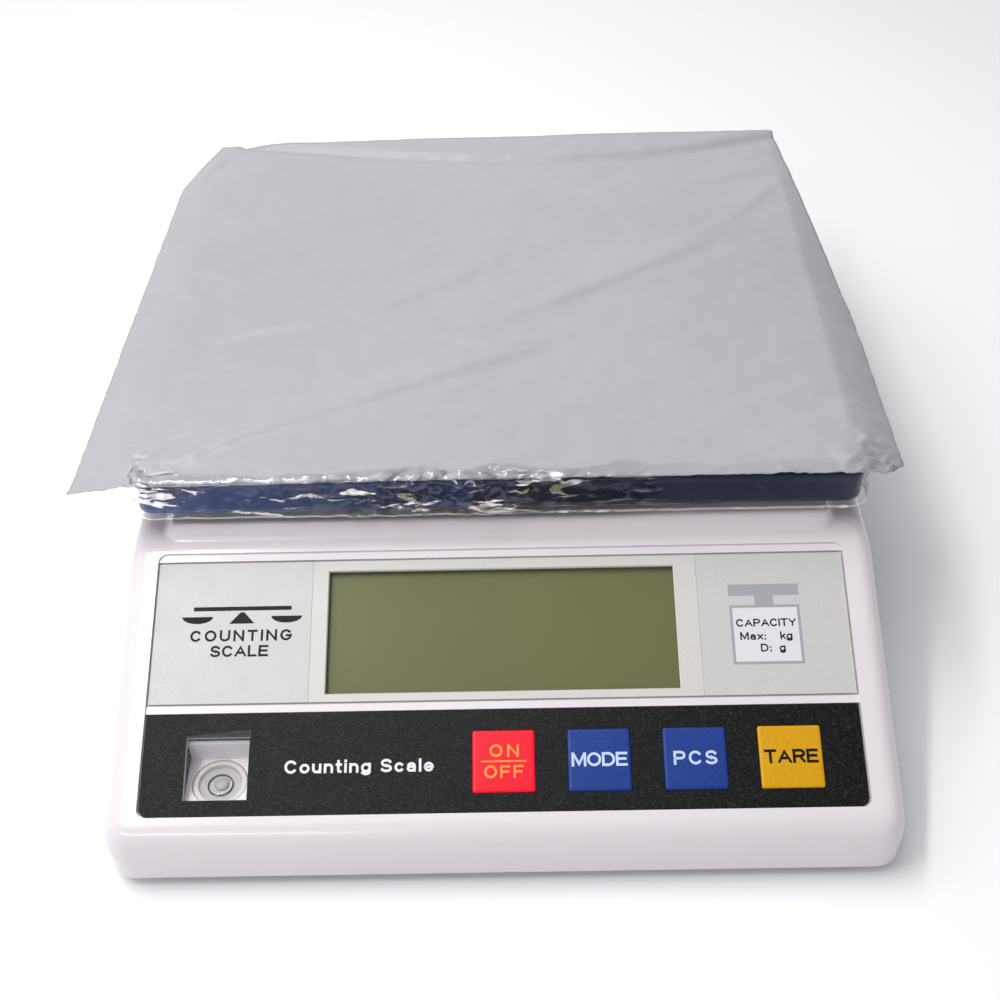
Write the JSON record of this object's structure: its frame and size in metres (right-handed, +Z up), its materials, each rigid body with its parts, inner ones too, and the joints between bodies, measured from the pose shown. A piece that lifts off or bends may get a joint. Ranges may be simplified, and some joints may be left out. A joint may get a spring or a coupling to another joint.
{
  "type": "counting scale",
  "caption": "Bench counting scale with a sloping keypad, wide display and bubble level, its rectangular pan still in packing film.",
  "frame": {"origin": "on the surface the scale stands on, below the middle of the whole object", "axes": "+Z up, +Y from the keypad to the back, +X to the right as the user sees it"},
  "size_m": [0.28, 0.326, 0.0832],
  "materials": {
    "white_abs": "glossy moulded ABS with a faint lilac tint",
    "grey_label": "silver-grey printed film, satin",
    "black_overlay": "fine-textured black printed film",
    "key_red": "fine-textured printed key",
    "key_blue": "fine-textured printed key",
    "key_yellow": "fine-textured printed key",
    "lcd": "olive display glass with a satin polariser",
    "clear": "clear acrylic",
    "light_plastic": "pale plastic",
    "board_green": "solder mask",
    "black_plastic": "black plastic",
    "rubber": "matt rubber",
    "steel": "steel",
    "aluminium": "cast and milled aluminium",
    "brass": "brass",
    "blue_film": "glossy dark blue protective film",
    "milky_film": "milky polythene sheet, softly creased"
  },
  "bodies": {
    "base": {"upper_housing": "white_abs", "lower_housing": "white_abs", "level_holder": "white_abs", "left_label": "grey_label", "right_label": "grey_label", "display_bezel": "grey_label", "key_overlay": "black_overlay", "lcd_glass": "lcd", "level_window": "clear", "level_lens": "clear", "backlight": "light_plastic", "level_cup": "light_plastic", "main_board": "board_green", "switch_on_off": "black_plastic", "switch_mode": "black_plastic", "switch_count": "black_plastic", "switch_tare": "black_plastic", "lcd_frame": "black_plastic", "battery": "black_plastic", "dc_jack": "black_plastic", "cell_lead": "black_plastic", "battery_lead": "black_plastic", "cell_base_block": "steel", "cell_base_screw_1": "steel", "cell_base_screw_2": "steel", "overload_stop": "steel", "case_screw_1": "steel", "case_screw_2": "steel", "case_screw_3": "steel", "case_screw_4": "steel", "load_cell": "aluminium", "foot_nut_1": "brass", "foot_nut_2": "brass", "foot_nut_3": "brass", "foot_nut_4": "brass", "jack_pin": "brass"},
    "platform": {"cell_top_block": "aluminium", "cell_top_screw_1": "steel", "cell_top_screw_2": "steel", "pan_spider": "aluminium", "pan_pad_1": "rubber", "pan_pad_2": "rubber", "pan_pad_3": "rubber", "pan_pad_4": "rubber"},
    "pan": {"weighing_pan": "steel", "pan_film": "blue_film", "pan_wrap": "milky_film"},
    "battery_lid": {"battery_door": "white_abs"},
    "key_on_off_body": {"key_on_off": "key_red"},
    "key_mode_body": {"key_mode": "key_blue"},
    "key_count_body": {"key_count": "key_blue"},
    "key_tare_body": {"key_tare": "key_yellow"},
    "foot_pad_1_body": {"foot_pad_1": "rubber"},
    "foot_screw_1_body": {"foot_screw_1": "black_plastic"},
    "foot_pad_2_body": {"foot_pad_2": "rubber"},
    "foot_screw_2_body": {"foot_screw_2": "black_plastic"},
    "foot_pad_3_body": {"foot_pad_3": "rubber"},
    "foot_screw_3_body": {"foot_screw_3": "black_plastic"},
    "foot_pad_4_body": {"foot_pad_4": "rubber"},
    "foot_screw_4_body": {"foot_screw_4": "black_plastic"}
  },
  "joints": [
    {"name": "press_on_off", "type": "slide", "parent": "base", "child": "key_on_off_body", "axis": [0, 0.3907, -0.9205], "range_m": [0, 0.0006], "stiffness_N_per_m": 3000},
    {"name": "press_mode", "type": "slide", "parent": "base", "child": "key_mode_body", "axis": [0, 0.3907, -0.9205], "range_m": [0, 0.0006], "stiffness_N_per_m": 3000},
    {"name": "press_count", "type": "slide", "parent": "base", "child": "key_count_body", "axis": [0, 0.3907, -0.9205], "range_m": [0, 0.0006], "stiffness_N_per_m": 3000},
    {"name": "press_tare", "type": "slide", "parent": "base", "child": "key_tare_body", "axis": [0, 0.3907, -0.9205], "range_m": [0, 0.0006], "stiffness_N_per_m": 3000},
    {"name": "platform_load", "type": "slide", "parent": "base", "child": "platform", "axis": [0, 0, -1], "range_m": [0, 0.0005], "stiffness_N_per_m": 150000, "deforming": ["load_cell"]},
    {"name": "pan_lift", "type": "slide", "parent": "platform", "child": "pan", "axis": [0, 0, 1], "range_m": [0, 0.06]},
    {"name": "battery_door_pull", "type": "slide", "parent": "base", "child": "battery_lid", "axis": [0, 0, -1], "range_m": [0, 0.03]},
    {"name": "foot_1_travel", "type": "slide", "parent": "base", "child": "foot_pad_1_body", "axis": [0, 0, -1], "range_m": [0, 0.004]},
    {"name": "foot_1_turn", "type": "hinge", "parent": "foot_pad_1_body", "child": "foot_screw_1_body", "pos_m": [-0.105, -0.119, 0.0053], "axis": [0, 0, -1], "range_deg": [0, 1440]},
    {"name": "foot_2_travel", "type": "slide", "parent": "base", "child": "foot_pad_2_body", "axis": [0, 0, -1], "range_m": [0, 0.004]},
    {"name": "foot_2_turn", "type": "hinge", "parent": "foot_pad_2_body", "child": "foot_screw_2_body", "pos_m": [-0.105, 0.123, 0.0053], "axis": [0, 0, -1], "range_deg": [0, 1440]},
    {"name": "foot_3_travel", "type": "slide", "parent": "base", "child": "foot_pad_3_body", "axis": [0, 0, -1], "range_m": [0, 0.004]},
    {"name": "foot_3_turn", "type": "hinge", "parent": "foot_pad_3_body", "child": "foot_screw_3_body", "pos_m": [0.105, -0.119, 0.0053], "axis": [0, 0, -1], "range_deg": [0, 1440]},
    {"name": "foot_4_travel", "type": "slide", "parent": "base", "child": "foot_pad_4_body", "axis": [0, 0, -1], "range_m": [0, 0.004]},
    {"name": "foot_4_turn", "type": "hinge", "parent": "foot_pad_4_body", "child": "foot_screw_4_body", "pos_m": [0.105, 0.123, 0.0053], "axis": [0, 0, -1], "range_deg": [0, 1440]}
  ],
  "couplings": [
    {"joint": "foot_1_travel", "follows": "foot_1_turn", "m_per_rad": 0.000159},
    {"joint": "foot_2_travel", "follows": "foot_2_turn", "m_per_rad": 0.000159},
    {"joint": "foot_3_travel", "follows": "foot_3_turn", "m_per_rad": 0.000159},
    {"joint": "foot_4_travel", "follows": "foot_4_turn", "m_per_rad": 0.000159}
  ]
}
